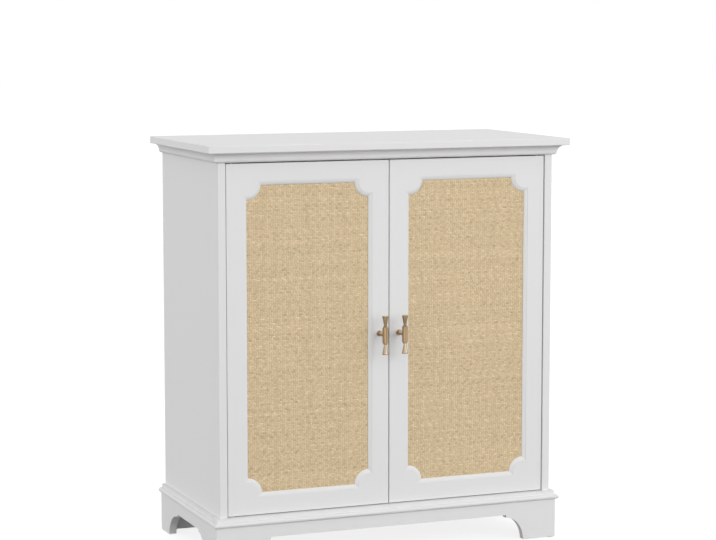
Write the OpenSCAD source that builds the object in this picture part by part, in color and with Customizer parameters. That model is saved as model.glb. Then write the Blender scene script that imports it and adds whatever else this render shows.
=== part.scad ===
// Sideboard with two woven-panel doors, crown and base mouldings and a bracket-foot plinth.
// X runs from left to right, Y from front to back and Z upwards, in millimetres.
// The origin is on the floor under the centre of the whole piece, handles included.

/* [Carcass] */
// Width over the outer faces of the side panels
body_w = 746; // [600:1:1100]
// Depth of the side panels
body_d = 375; // [300:1:500]
// Thickness of the side panels
side_t = 16.5; // [12:0.5:25]
// Rounding of the front outer edge of the side panels
side_edge_r = 2; // [1:0.5:8]
// Thickness of the bottom panel
bottom_t = 18; // [16:0.5:30]
// Depth of the two top rails, front to back
rail_d = 60; // [55:1:100]
// Thickness of the back panel halves
back_t = 3; // [2.5:0.5:6]
// Distance from the back edge of the sides to the back panel
back_inset = 10; // [6:1:25]
// Depth of the grooves that hold the back panel
groove_depth = 6; // [4:0.5:9]
// Width of the strip that joins the two halves of the back panel
strip_w = 16; // [10:1:30]
// Thickness of the strip's two flanges
strip_flange_t = 0.8; // [0.5:0.1:1.5]
// Thickness of the strip's web
strip_web = 1.2; // [0.8:0.1:2]

/* [Top] */
// Thickness of the top panel
top_t = 15; // [12:0.5:30]
// How far the top panel stands out past the body at the sides
top_side_overhang = 27; // [20:0.5:60]
// How far the top panel stands out past the body at the front
top_front_overhang = 28.5; // [20:0.5:60]
// Rounding of the long edges of the top panel
top_edge_r = 1.5; // [0.5:0.1:4]

/* [Crown moulding] */
// Height of the crown moulding, also the thickness of the top rails
crown_h = 20.3; // [18:0.1:40]
// How far the crown stands out under the top
crown_top_p = 15.5; // [13:0.5:18]
// Height of the flat lip at the top of the crown
crown_lip_h = 2; // [1:0.1:4]
// Width of the small step between the lip and the cove
crown_quirk = 0.8; // [0.3:0.1:1.5]
// How far the bead at the foot of the crown stands out
crown_bead_p = 7.8; // [6.2:0.1:9]
// Radius of that bead
crown_bead_r = 6; // [3:0.1:6]

/* [Base moulding] */
// How far the upper ledge stands out from the body
ledge_p = 8; // [5:0.1:10]
// How far the nose stands out from the body
nose_p = 16; // [13:0.5:22]
// Radius of the rounded nose
nose_r = 4.8; // [2:0.1:6]

/* [Plinth] */
// Height of the top of the aprons above the floor
plinth_h = 84.5; // [60:0.5:150]
// Thickness of the aprons
apron_t = 16; // [12:0.5:22]
// How far the apron faces stand out past the body
apron_proud = 10; // [4:0.5:11]
// Height of the middle of the bracket cut-outs above the floor
arch_top = 57.5; // [40:0.5:75]
// Height of the step where the curve of a foot meets the middle of the cut-out
cusp_h = 5.5; // [2:0.5:10]
// Width of the front feet, and of the back feet as seen from behind
foot_w = 81.5; // [60:0.5:110]
// Width of the back feet as seen from the side
side_back_foot_w = 57; // [40:0.5:90]
// Length of the curve that runs from a foot to the step
foot_curve = 41; // [20:0.5:70]
// Length of the longer curve of the back feet as seen from the side
side_back_curve = 60; // [20:0.5:80]
// Width of the corner blocks behind the feet
block_w = 38; // [25:1:45]
// Height of the corner blocks
block_h = 44; // [36:1:60]
// Radius of the floor glides
glide_r = 7; // [4:0.5:7.5]
// Thickness of the floor glides, which lift the aprons off the floor
glide_t = 2; // [1:0.5:5]
// Length of the plinth screws inside the corner blocks
screw_in_block = 26; // [18:1:36]

/* [Doors] */
// Height of the doors
door_h = 719.2; // [450:0.2:1100]
// Thickness of the doors
door_t = 18; // [16:0.5:25]
// Gap beside, between and below the doors
door_gap = 2; // [2:0.5:5]
// Gap above the doors
top_gap = 2.5; // [2:0.5:5]
// How far the door faces stand back from the front edges of the sides
door_setback = 2; // [0:0.5:4]
// Rounding of the upright front edges of the doors
door_edge_r = 1.2; // [0.4:0.1:3]
// Width of the door frame members, moulded lip included
stile_w = 44.5; // [40:0.5:70]
// Radius of the notches at the corners of the opening
notch_r = 30; // [15:1:45]
// Width of the moulded lip round the opening
lip_w = 7.5; // [5.5:0.1:10]
// Small step between the door face and the round of the lip
lip_quirk = 1.2; // [0.4:0.1:1.5]
// Depth of the straight foot of the lip, next to the woven panel
lip_foot = 0.4; // [0.2:0.1:1]
// Depth of the woven panel behind the door face
panel_recess = 5; // [4:0.1:8]

/* [Woven panels] */
// Thickness of the woven sheet
weave_t = 2; // [1:0.1:3]
// How far the sheet and its backing reach past the opening
rebate_w = 10; // [8:0.5:14]
// Thickness of the backing board
backing_t = 4.5; // [3:0.5:5]
// Width of the retaining beads
bead_w = 9; // [6:0.5:12]
// Thickness of the retaining beads
bead_t = 3; // [1.5:0.1:3]
// Play of the sheet, board and beads in the rebate, all round
panel_play = 0.3; // [0.1:0.1:1]

/* [Door pivots] */
// Distance from the outer edge of the door to the pivot axis
pivot_from_edge = 13; // [12:0.5:20]
// Distance from the door face to the pivot axis
pivot_from_face = 7; // [6:0.5:8]
// Radius of the pivot pins
pin_r = 3; // [2:0.5:3.5]
// Length of a pin inside the door
pin_in_door = 12; // [8:0.5:20]
// Length of a lower pin inside the bottom panel
pin_in_board = 14; // [8:0.5:14]
// Radius of the collar that carries the door on a lower pin
pin_collar_r = 6.5; // [5:0.5:8]
// Radius of the head of an upper pin, let into the top of the front rail
pin_head_r = 5; // [4:0.5:8]
// Thickness of the head of an upper pin
pin_head_t = 2; // [1.5:0.5:4]
// Radius of the bushes in the door
bush_r = 4.5; // [4:0.5:5.5]
// Running gap between the collars and the door
run_gap = 0.3; // [0.2:0.1:0.6]

/* [Handles] */
// Distance from the free edge of the door to the handle
handle_from_edge = 21; // [15:0.5:26]
// Length of the turned bar
bar_l = 80; // [60:1:160]
// Length of the barrel in the middle of the bar
barrel_l = 33; // [22:1:60]
// Radius of the barrel
barrel_r = 6; // [5:0.1:9]
// Size of the small step at each end of the barrel
barrel_step = 0.8; // [0.4:0.1:1.5]
// Radius of the neck on each side of the barrel
neck_r = 2.7; // [2.5:0.1:4.5]
// Height of the ring at each end of the barrel
ring_h = 2.2; // [1:0.1:4]
// Radius of that ring
ring_r = 4.6; // [4:0.1:5.2]
// Radius of the flared ends of the bar
bell_r = 6.3; // [5:0.1:9]
// Height of the straight rim at each flared end
bell_rim_h = 1.6; // [0.5:0.1:4]
// Distance from the door face to the axis of the bar
bar_standoff = 33; // [26:0.5:50]
// Radius of the post
post_r = 4; // [3:0.1:4.5]
// Radius of the foot of the post on the door
post_foot_r = 6; // [5:0.1:9]
// Height of the foot of the post
post_foot_h = 4; // [2:0.5:8]
// Radius of the handle screw
handle_screw_r = 2; // [1.5:0.25:2.5]
// Length of the handle screw inside the post
handle_screw_in_post = 14; // [8:1:18]

/* [Shelves] */
// Thickness of the shelves
shelf_t = 15; // [12:0.5:25]
// Gap between the shelves and the sides
shelf_side_gap = 1; // [0.5:0.5:3]
// Gap between the sweep of the door edges and the shelves
shelf_front_gap = 6; // [3:1:60]
// Radius of the shelf pins
shelf_pin_r = 2.5; // [2:0.25:3]
// Depth of the shelf pin holes
pin_hole_depth = 9; // [6:0.5:10]
// Reach of the shelf pins under a shelf
shelf_pin_reach = 8; // [6:0.5:12]
// Spacing of the shelf pin holes
pin_pitch = 32; // [20:1:50]
// Distance from the shelf pin holes to the front and back edges of a shelf
pin_edge = 40; // [25:1:80]

/* [Catches] */
// Length, depth and height of a magnetic catch
catch_size = [42, 14, 12]; // [8:0.5:60]
// Width, thickness and height of a strike plate
strike_size = [36, 1, 12]; // [1:0.5:60]
// Length and depth of the fixing ears at the ends of a catch
catch_ear = [8, 10]; // [4:0.5:12]
// Thickness of the fixing ears
catch_ear_t = 3; // [2:0.5:5]
// Distance from the middle of the cabinet to the middle of a catch
catch_x = 30; // [25:1:80]

/* [Fittings] */
// Radius of the cam discs
cam_r = 7.5; // [6:0.5:10]
// Thickness of the cam discs
cam_t = 12.5; // [9:0.5:13]
// Distance from the end of a board to a cam disc
cam_inset = 34; // [24:1:40]
// Radius of the cam bolts
bolt_r = 3; // [2:0.5:3.5]
// Length of a cam bolt inside a side panel
bolt_in_side = 10; // [6:0.5:10]
// Radius of the wooden dowels
dowel_r = 4; // [3:0.5:5]
// Length of a dowel on each side of a joint, limited by the side panel
dowel_in = [9, 20]; // [6:0.5:30]
// Distance from a cam bolt to the dowel beside it
dowel_from_bolt = 22; // [16:1:40]
// Radius of the screws of the top and of the plinth
screw_r = 2; // [1.5:0.25:3]
// Radius of the screw heads
screw_head_r = 4; // [3:0.25:5]
// Thickness of the screw heads
screw_head_t = 2.5; // [1.5:0.5:4]
// Length of the screws inside the board that they hold
screw_bite = 10; // [6:0.5:11]
// Radial clearance of pins, screws, dowels and bushes in their holes
fit_clear = 0.05; // [0.02:0.01:0.1]

/* [Hidden] */
$fn = 64;
over = 1;
oval_steps = 24;
white = [0.93, 0.93, 0.92];
liner_white = [0.90, 0.90, 0.89];
cane = [0.82, 0.73, 0.57];
brass = [0.72, 0.56, 0.34];
steel = [0.70, 0.71, 0.73];
zinc = [0.60, 0.61, 0.63];
nylon = [0.88, 0.88, 0.86];
beech = [0.80, 0.66, 0.46];

// Half widths
half_w = body_w / 2;
inner_w = half_w - side_t;

// Planes from front to back
handle_reach = bar_standoff + max(barrel_r, bell_r);
front_reach = max(handle_reach, top_front_overhang + door_setback, nose_p + door_setback);
total_d = front_reach - door_setback + body_d;
y_back = total_d / 2;
y_body = y_back - body_d;
y_face = y_body + door_setback;
y_liner_back = y_back - back_inset;
y_liner = y_liner_back - back_t;
y_apron = y_body - apron_proud;

// Levels from the floor up
z_floor_panel = plinth_h + bottom_t;
z_door = z_floor_panel + door_gap;
z_crown = z_door + door_h + top_gap;
z_top = z_crown + crown_h;

// Doors
door_w = inner_w - 1.5 * door_gap;
open_w = door_w - 2 * stile_w;
open_h = door_h - 2 * stile_w;
lip_depth = panel_recess - lip_foot;
lip_fall = lip_depth - lip_quirk;
lip_r = (pow(lip_w, 2) + pow(lip_fall, 2)) / (2 * lip_fall);
pivot_x = inner_w - door_gap - pivot_from_edge;
pivot_y = y_face + pivot_from_face;
swing_r = sqrt(pow(pivot_from_edge, 2) + pow(door_t - pivot_from_face, 2));
bush_l = pin_in_door + 2;
bush_hole_r = bush_r + fit_clear;

// Shelves
shelf_front = pivot_y + swing_r + shelf_front_gap;
shelf_back = y_liner - 2;
bay_h = (z_top - z_floor_panel - 2 * shelf_t) / 3;
shelf_z = [z_floor_panel + bay_h, z_floor_panel + 2 * bay_h + shelf_t];
pin_ys = [shelf_front + pin_edge, shelf_back - pin_edge];
tongue_t = 1.5;
tongue_w = 2 * shelf_pin_r + 1;
pin_drop = shelf_pin_r;

// Joints between the boards and the side panels: place along Y and level
floor_bolt_z = plinth_h + bottom_t / 2;
rail_bolt_z = z_crown + crown_h / 2;
floor_bolt_ys = [y_body + 62, y_liner - 62];
front_dowel_y = pivot_y + pin_head_r + dowel_r + 2;
front_rail_y = front_dowel_y + dowel_from_bolt;
back_rail_y = y_liner - rail_d / 2;
bolt_points = [
    [floor_bolt_ys[0], floor_bolt_z],
    [floor_bolt_ys[1], floor_bolt_z],
    [front_rail_y, rail_bolt_z],
    [back_rail_y, rail_bolt_z]
];
dowel_points = [
    [floor_bolt_ys[0] + dowel_from_bolt, floor_bolt_z],
    [floor_bolt_ys[1] - dowel_from_bolt, floor_bolt_z],
    [front_dowel_y, rail_bolt_z],
    [back_rail_y - dowel_from_bolt, rail_bolt_z]
];
top_screw_xs = [-inner_w * 0.62, 0, inner_w * 0.62];

// Plinth
plinth_half_w = half_w + apron_proud;
arch_half_w = plinth_half_w - foot_w;
block_x = plinth_half_w - apron_t;
block_front = y_apron + apron_t;
block_back = y_back - apron_t;
block_cut = 12;
block_ys = [block_front + block_w / 2, block_back - block_w / 2];
glide_ys = [y_apron + apron_t / 2, y_back - apron_t / 2];
counterbore_r = screw_head_r + 1;
plinth_head_z = plinth_h - screw_in_block;

// Helpers

module both_sides() {
    children();
    mirror([1, 0, 0]) children();
}

// The corner left between a square corner and a circle of radius r, at the origin
module spandrel(r) {
    difference() {
        translate([-over, -over]) square(r + over);
        translate([r, r]) circle(r);
    }
}

// Rectangle from the origin with its two front corners rounded
module front_eased(w, d, r) {
    difference() {
        square([w, d]);
        spandrel(r);
        translate([w, 0]) mirror([1, 0]) spandrel(r);
    }
}

// Profiles, drawn with X as the reach from the body and Y as the height

// A lip and a small step over a cove that runs smoothly into a bead
module crown_profile() {
    bead_z = crown_bead_r - crown_h;
    drop = -crown_lip_h - bead_z;
    reach = crown_top_p - crown_quirk - crown_bead_p;
    cove_r = (reach * reach + drop * drop) / (2 * reach);
    difference() {
        translate([0, bead_z]) square([crown_top_p, -bead_z]);
        intersection() {
            translate([crown_bead_p + cove_r, bead_z]) circle(cove_r);
            translate([0, bead_z - over]) square([crown_top_p + over, drop + over]);
        }
    }
    translate([0, -crown_h]) square([crown_bead_p - crown_bead_r, crown_bead_r]);
    translate([crown_bead_p - crown_bead_r, bead_z]) intersection() {
        circle(crown_bead_r);
        translate([0, -crown_bead_r]) square(crown_bead_r);
    }
}

// A square ledge on a half-round nose
module base_profile() {
    nose_x = nose_p - nose_r;
    square([ledge_p, bottom_t]);
    square([nose_x, 2 * nose_r]);
    translate([nose_x, nose_r]) circle(nose_r);
}

// Mitred lengths of moulding round the body, with the profile's zero at level z

module front_moulding(z, reach) {
    p = reach + over;
    intersection() {
        translate([-half_w - p, y_body, z])
            rotate([90, 0, 90])
            linear_extrude(2 * (half_w + p))
            mirror([1, 0]) children();
        translate([0, 0, z - crown_h - over])
            linear_extrude(crown_h + bottom_t + 2 * over)
            polygon([
                [-half_w - p, y_body - p], [half_w + p, y_body - p],
                [half_w, y_body], [-half_w, y_body]
            ]);
    }
}

module right_moulding(z, reach) {
    p = reach + over;
    intersection() {
        translate([half_w, y_back, z])
            rotate([90, 0, 0])
            linear_extrude(body_d + p)
            children();
        translate([0, 0, z - crown_h - over])
            linear_extrude(crown_h + bottom_t + 2 * over)
            polygon([
                [half_w, y_body], [half_w + p, y_body - p],
                [half_w + p, y_back], [half_w, y_back]
            ]);
    }
}

// Quarter of an oval, reach long and rise high, with a strip below it that clears the floor
module oval_quarter(reach, rise) {
    curve = [for (i = [0:oval_steps]) let (a = 90 * i / oval_steps) [reach * cos(a), rise * sin(a)]];
    polygon(concat([[-over, -over], [reach, -over]], curve, [[-over, rise]]));
}

// Bracket cut-out from 0 to span, drawn with Y as the height above the floor. A curve of its
// own length rises from each foot, and the straight middle lies a small step higher.
module bracket_cut(span, first_curve, last_curve) {
    shoulder = arch_top - cusp_h;
    translate([first_curve, -over]) square([span - first_curve - last_curve, arch_top + over]);
    translate([first_curve, 0]) mirror([1, 0]) oval_quarter(first_curve, shoulder);
    translate([span - last_curve, 0]) oval_quarter(last_curve, shoulder);
}

// Holes for the cam bolts and the dowels in the inner face of the right side panel
module side_joint_holes() {
    for (p = bolt_points)
        translate([inner_w - over, p[0], p[1]])
            rotate([0, 90, 0]) cylinder(r = bolt_r + fit_clear, h = bolt_in_side + over);
    for (p = dowel_points)
        translate([inner_w - over, p[0], p[1]])
            rotate([0, 90, 0]) cylinder(r = dowel_r + fit_clear, h = dowel_in[0] + 1 + over);
}

// Holes in the right end of a board for the joints in the list from first to last,
// with the cam discs let in from level z in direction up
module end_joint_holes(first, last, z, up) {
    for (i = [first:last]) {
        bolt = bolt_points[i];
        dowel = dowel_points[i];
        translate([inner_w - cam_inset, bolt[0], bolt[1]])
            rotate([0, 90, 0]) cylinder(r = bolt_r + fit_clear, h = cam_inset + over);
        translate([inner_w - cam_inset, bolt[0], z - (up > 0 ? over : cam_t)])
            cylinder(r = cam_r + fit_clear, h = cam_t + over);
        translate([inner_w - dowel_in[1] - 1, dowel[0], dowel[1]])
            rotate([0, 90, 0]) cylinder(r = dowel_r + fit_clear, h = dowel_in[1] + 1 + over);
    }
}

// Top and carcass

module top_panel() {
    w = body_w + 2 * top_side_overhang;
    d = body_d + top_front_overhang;
    color(white)
    difference() {
        translate([-w / 2, y_back - d, z_top])
        intersection() {
            translate([0, 0, top_t])
                rotate([-90, 0, 0])
                linear_extrude(d)
                difference() {
                    square([w, top_t]);
                    spandrel(top_edge_r);
                    translate([w, 0]) mirror([1, 0]) spandrel(top_edge_r);
                    translate([0, top_t]) mirror([0, 1]) spandrel(top_edge_r);
                    translate([w, top_t]) mirror([1, 0]) mirror([0, 1]) spandrel(top_edge_r);
                }
            rotate([90, 0, 90])
                linear_extrude(w)
                difference() {
                    square([d, top_t]);
                    spandrel(top_edge_r);
                    translate([0, top_t]) mirror([0, 1]) spandrel(top_edge_r);
                }
        }
        for (x = top_screw_xs, y = [front_rail_y, back_rail_y])
            translate([x, y, z_top - over]) cylinder(r = screw_r + fit_clear, h = screw_bite + 2);
    }
}

module crown_front() {
    color(white) front_moulding(z_top, crown_top_p) crown_profile();
}

module crown_right() {
    color(white) right_moulding(z_top, crown_top_p) crown_profile();
}

module crown_left() {
    mirror([1, 0, 0]) crown_right();
}

module side_panel_right() {
    color(white)
    difference() {
        translate([inner_w, y_body, plinth_h])
            linear_extrude(z_top - plinth_h)
            difference() {
                square([side_t, body_d]);
                translate([side_t, 0]) mirror([1, 0]) spandrel(side_edge_r);
                translate([-over, y_liner - y_body - fit_clear])
                    square([groove_depth + over, back_t + 2 * fit_clear]);
            }
        side_joint_holes();
        for (z = shelf_z, y = pin_ys, row = [-1:1])
            translate([inner_w - over, y, z - tongue_t - pin_drop + row * pin_pitch])
                rotate([0, 90, 0]) cylinder(r = shelf_pin_r + fit_clear, h = pin_hole_depth + over);
    }
}

module side_panel_left() {
    mirror([1, 0, 0]) side_panel_right();
}

module bottom_panel() {
    color(white)
    difference() {
        translate([-inner_w, y_body, plinth_h]) cube([2 * inner_w, y_liner - y_body, bottom_t]);
        both_sides() {
            end_joint_holes(0, 1, plinth_h, 1);
            translate([pivot_x, pivot_y, z_floor_panel - pin_in_board - 1])
                cylinder(r = pin_r + fit_clear, h = pin_in_board + 1 + over);
            for (y = block_ys)
                translate([block_x - block_w / 2, y, plinth_h - over])
                    cylinder(r = screw_r + fit_clear, h = screw_bite + 2);
        }
    }
}

module top_rail(y0, first) {
    color(white)
    difference() {
        translate([-inner_w, y0, z_crown]) cube([2 * inner_w, rail_d, crown_h]);
        both_sides() end_joint_holes(first, first, z_top, -1);
        for (x = top_screw_xs)
            translate([x, bolt_points[first][0], z_crown - over])
                cylinder(r = screw_r + fit_clear, h = crown_h + 2 * over);
        for (x = top_screw_xs)
            translate([x, bolt_points[first][0], z_crown - over])
                cylinder(r = screw_head_r + fit_clear, h = screw_head_t + over);
        children();
    }
}

module front_top_rail() {
    top_rail(y_body, 2)
        both_sides()
        translate([pivot_x, pivot_y, 0]) {
            translate([0, 0, z_crown - over])
                cylinder(r = pin_r + fit_clear, h = crown_h + 2 * over);
            translate([0, 0, z_top - pin_head_t])
                cylinder(r = pin_head_r + fit_clear, h = pin_head_t + over);
        }
}

module back_top_rail() {
    top_rail(y_liner - rail_d, 3);
}

module back_panel_right() {
    color(liner_white)
    translate([strip_web / 2, y_liner, plinth_h + 1])
        cube([inner_w + groove_depth - panel_play - strip_web / 2, back_t, z_top - plinth_h - 2]);
}

module back_panel_left() {
    mirror([1, 0, 0]) back_panel_right();
}

// H-shaped strip that joins the two halves of the back panel
module back_joining_strip() {
    color(nylon)
    translate([0, 0, z_floor_panel])
        linear_extrude(z_crown - z_floor_panel) {
            translate([-strip_web / 2, y_liner - strip_flange_t])
                square([strip_web, back_t + 2 * strip_flange_t]);
            for (y = [y_liner - strip_flange_t, y_liner_back])
                translate([-strip_w / 2, y]) square([strip_w, strip_flange_t]);
        }
}

module shelf(z) {
    w = 2 * (inner_w - shelf_side_gap);
    color(white)
    translate([-w / 2, shelf_front, z])
        rotate([90, 0, 90])
        linear_extrude(w)
        difference() {
            square([shelf_back - shelf_front, shelf_t]);
            spandrel(top_edge_r);
            translate([0, shelf_t]) mirror([0, 1]) spandrel(top_edge_r);
        }
}

module lower_shelf() {
    shelf(shelf_z[0]);
}

module upper_shelf() {
    shelf(shelf_z[1]);
}

// A pin with a flat tongue on which the shelf rests
module shelf_pin() {
    rotate([0, 90, 0])
        translate([0, 0, -shelf_pin_reach])
        cylinder(r = shelf_pin_r, h = shelf_pin_reach + pin_hole_depth - 1);
    translate([-shelf_pin_reach, -tongue_w / 2, 0])
        cube([shelf_pin_reach, tongue_w, pin_drop + tongue_t]);
}

module shelf_pins() {
    color(zinc)
    both_sides()
        for (z = shelf_z, y = pin_ys)
            translate([inner_w, y, z - tongue_t - pin_drop]) shelf_pin();
}

// Plinth

module base_moulding_front() {
    color(white) front_moulding(plinth_h, nose_p) base_profile();
}

module base_moulding_right() {
    color(white) right_moulding(plinth_h, nose_p) base_profile();
}

module base_moulding_left() {
    mirror([1, 0, 0]) base_moulding_right();
}

// Cut-out of the front or back apron, whose front face lies at y
module end_board_cut(y) {
    translate([-arch_half_w, y + apron_t + over, 0])
        rotate([90, 0, 0])
        linear_extrude(apron_t + 2 * over)
        bracket_cut(2 * arch_half_w, foot_curve, foot_curve);
}

module front_apron() {
    inner = plinth_half_w - apron_t;
    color(white)
    difference() {
        translate([0, 0, glide_t])
            linear_extrude(plinth_h - glide_t)
            polygon([
                [-plinth_half_w, y_apron], [plinth_half_w, y_apron],
                [inner, y_apron + apron_t], [-inner, y_apron + apron_t]
            ]);
        end_board_cut(y_apron);
    }
}

module right_apron() {
    cut_front = y_apron + foot_w;
    cut_back = y_back - side_back_foot_w;
    color(white)
    difference() {
        translate([0, 0, glide_t])
            linear_extrude(plinth_h - glide_t)
            polygon([
                [plinth_half_w, y_apron], [plinth_half_w, y_back],
                [plinth_half_w - apron_t, y_back], [plinth_half_w - apron_t, y_apron + apron_t]
            ]);
        translate([plinth_half_w - apron_t - over, cut_front, 0])
            rotate([90, 0, 90])
            linear_extrude(apron_t + 2 * over)
            bracket_cut(cut_back - cut_front, foot_curve, side_back_curve);
    }
}

module left_apron() {
    mirror([1, 0, 0]) right_apron();
}

module back_apron() {
    inner = plinth_half_w - apron_t;
    color(white)
    difference() {
        translate([-inner, y_back - apron_t, glide_t])
            cube([2 * inner, apron_t, plinth_h - glide_t]);
        end_board_cut(y_back - apron_t);
    }
}

// Block with its inner corner cut off, its outer corner at the origin
module corner_block() {
    difference() {
        translate([0, 0, plinth_h - block_h])
            linear_extrude(block_h)
            polygon([
                [0, 0], [0, block_w], [block_cut - block_w, block_w],
                [-block_w, block_w - block_cut], [-block_w, 0]
            ]);
        translate([-block_w / 2, block_w / 2, 0]) {
            cylinder(r = screw_r + fit_clear, h = plinth_h + over);
            cylinder(r = counterbore_r, h = plinth_head_z);
        }
    }
}

module corner_blocks() {
    color(white)
    both_sides() {
        translate([block_x, block_front, 0]) corner_block();
        translate([block_x, block_back, 0]) mirror([0, 1, 0]) corner_block();
    }
}

module floor_glides() {
    color(nylon)
    both_sides()
        for (y = glide_ys)
            translate([plinth_half_w - apron_t / 2, y, 0]) cylinder(r = glide_r, h = glide_t);
}

// Pivots and catches on the carcass

module lower_pivot_pin() {
    translate([0, 0, -pin_in_board]) cylinder(r = pin_r, h = pin_in_board + door_gap + pin_in_door);
    cylinder(r = pin_collar_r, h = door_gap - run_gap);
}

// Drops through the front rail from above before the top panel goes on
module upper_pivot_pin() {
    translate([0, 0, -pin_in_door - top_gap]) cylinder(r = pin_r, h = pin_in_door + top_gap + crown_h);
    translate([0, 0, crown_h - pin_head_t]) cylinder(r = pin_head_r, h = pin_head_t);
}

module pivot_pins() {
    color(steel)
    both_sides() {
        translate([pivot_x, pivot_y, z_floor_panel]) lower_pivot_pin();
        translate([pivot_x, pivot_y, z_crown]) upper_pivot_pin();
    }
}

module magnetic_catches() {
    y0 = y_face + door_t + strike_size[1] + run_gap;
    color(nylon)
    both_sides()
        translate([catch_x - catch_size[0] / 2, y0, z_crown - catch_size[2]])
        difference() {
            cube(catch_size);
            for (x = [-over, catch_size[0] - catch_ear[0]])
                translate([x, catch_size[1] - catch_ear[1], -over])
                    cube([catch_ear[0] + over, catch_ear[1] + over, catch_size[2] - catch_ear_t + over]);
        }
}

// Fasteners of the carcass

module cam_discs() {
    color(zinc)
    both_sides()
        for (i = [0:3]) {
            p = bolt_points[i];
            z0 = i < 2 ? plinth_h : z_top - cam_t;
            difference() {
                translate([inner_w - cam_inset, p[0], z0]) cylinder(r = cam_r, h = cam_t);
                translate([inner_w - cam_inset, p[0], p[1]])
                    rotate([0, 90, 0]) cylinder(r = bolt_r + fit_clear, h = cam_r + over);
            }
        }
}

module cam_bolts() {
    color(steel)
    both_sides()
        for (p = bolt_points)
            translate([inner_w - cam_inset + 1, p[0], p[1]])
            rotate([0, 90, 0]) cylinder(r = bolt_r, h = cam_inset - 1 + bolt_in_side);
}

module wooden_dowels() {
    color(beech)
    both_sides()
        for (p = dowel_points)
            translate([inner_w - dowel_in[1], p[0], p[1]])
            rotate([0, 90, 0]) cylinder(r = dowel_r, h = dowel_in[1] + dowel_in[0]);
}

module top_screws() {
    color(steel)
    for (x = top_screw_xs, y = [front_rail_y, back_rail_y])
        translate([x, y, z_crown]) {
            cylinder(r = screw_head_r, h = screw_head_t);
            cylinder(r = screw_r, h = crown_h + screw_bite);
        }
}

module plinth_screws() {
    color(steel)
    both_sides()
        for (y = block_ys)
            translate([block_x - block_w / 2, y, plinth_head_z]) {
                translate([0, 0, -screw_head_t]) cylinder(r = screw_head_r, h = screw_head_t);
                cylinder(r = screw_r, h = plinth_h - plinth_head_z + screw_bite);
            }
}

// Doors, drawn with X from the pivot edge to the free edge, Y from the face to the back
// and Z from the bottom edge to the top edge

module left_door() {
    translate([door_gap - inner_w, y_face, z_door]) children();
}

module right_door() {
    mirror([1, 0, 0]) left_door() children();
}

// Section through the moulded opening, with Y as the depth from the door face
module pocket_section(width) {
    difference() {
        translate([-width / 2 - lip_w, -over]) square([width + 2 * lip_w, lip_depth + over]);
        for (s = [-1, 1]) translate([s * (width / 2 + lip_w), lip_quirk + lip_r]) circle(lip_r);
    }
    translate([-width / 2, -over]) square([width, panel_recess + 2 * over]);
}

// Section from the axis of a corner notch outwards, with Y as the depth from the door face
module notch_section() {
    translate([0, -2 * over]) square([notch_r - lip_w, panel_recess + 4 * over]);
    intersection() {
        translate([notch_r - lip_w, lip_quirk + lip_r]) circle(lip_r);
        translate([notch_r - lip_w, 0]) square([lip_w, lip_depth]);
    }
    translate([0, lip_depth]) square([notch_r, panel_recess + 2 * over - lip_depth]);
}

// Space cut out of the door board: two crossed mouldings, less the four round notches
module moulded_opening() {
    difference() {
        intersection() {
            linear_extrude(open_h + 4 * lip_w, center = true) pocket_section(open_w);
            rotate([0, -90, 0]) linear_extrude(open_w + 4 * lip_w, center = true) pocket_section(open_h);
        }
        for (sx = [-1, 1], sz = [-1, 1])
            translate([sx * open_w / 2, 0, sz * open_h / 2])
            rotate([-90, 0, 0])
            rotate_extrude() notch_section();
    }
}

module door_frame() {
    rebate = [open_w + 2 * rebate_w, door_t, open_h + 2 * rebate_w];
    color(white)
    difference() {
        linear_extrude(door_h) front_eased(door_w, door_t, door_edge_r);
        translate([door_w / 2, 0, door_h / 2]) moulded_opening();
        translate([door_w / 2 - rebate[0] / 2, panel_recess, door_h / 2 - rebate[2] / 2]) cube(rebate);
        translate([pivot_from_edge, pivot_from_face, -over])
            cylinder(r = bush_hole_r, h = bush_l + over);
        translate([pivot_from_edge, pivot_from_face, door_h - bush_l])
            cylinder(r = bush_hole_r, h = bush_l + over);
        translate([door_w - handle_from_edge, -over, door_h / 2])
            rotate([-90, 0, 0]) cylinder(r = handle_screw_r + fit_clear, h = door_t + 2 * over);
    }
}

// Board that fills the rebate from depth y, t thick
module rebate_board(y, t) {
    w = open_w + 2 * (rebate_w - panel_play);
    h = open_h + 2 * (rebate_w - panel_play);
    translate([door_w / 2 - w / 2, y, door_h / 2 - h / 2]) cube([w, t, h]);
}

module woven_panel() {
    color(cane) rebate_board(panel_recess, weave_t);
}

module backing_board() {
    color(liner_white) rebate_board(panel_recess + weave_t, backing_t);
}

// One mitred bead along an edge of length l, at the origin, running along X
module bead(l) {
    rotate([-90, 0, 0])
        linear_extrude(bead_t)
        polygon([
            [panel_play, 0], [l - panel_play, 0],
            [l - bead_w - panel_play, -bead_w], [bead_w + panel_play, -bead_w]
        ]);
}

module panel_beads() {
    w = open_w + 2 * (rebate_w - panel_play);
    h = open_h + 2 * (rebate_w - panel_play);
    color(white)
    translate([door_w / 2, panel_recess + weave_t + backing_t, door_h / 2]) {
        translate([-w / 2, 0, -h / 2]) bead(w);
        translate([-w / 2, 0, h / 2]) mirror([0, 0, 1]) bead(w);
        translate([-w / 2, 0, h / 2]) rotate([0, 90, 0]) bead(h);
        translate([w / 2, 0, -h / 2]) rotate([0, -90, 0]) bead(h);
    }
}

module pivot_bush() {
    difference() {
        cylinder(r = bush_r, h = bush_l);
        translate([0, 0, -over]) cylinder(r = pin_r + fit_clear, h = pin_in_door + 1 + over);
    }
}

module pivot_bushes() {
    color(nylon)
    translate([pivot_from_edge, pivot_from_face, 0]) {
        pivot_bush();
        translate([0, 0, door_h]) mirror([0, 0, 1]) pivot_bush();
    }
}

module strike_plate() {
    color(steel)
    translate([inner_w - door_gap - catch_x - strike_size[0] / 2, door_t, door_h + top_gap - catch_size[2]])
        cube([strike_size[0], strike_size[1], strike_size[2] - top_gap - 1]);
}

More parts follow.
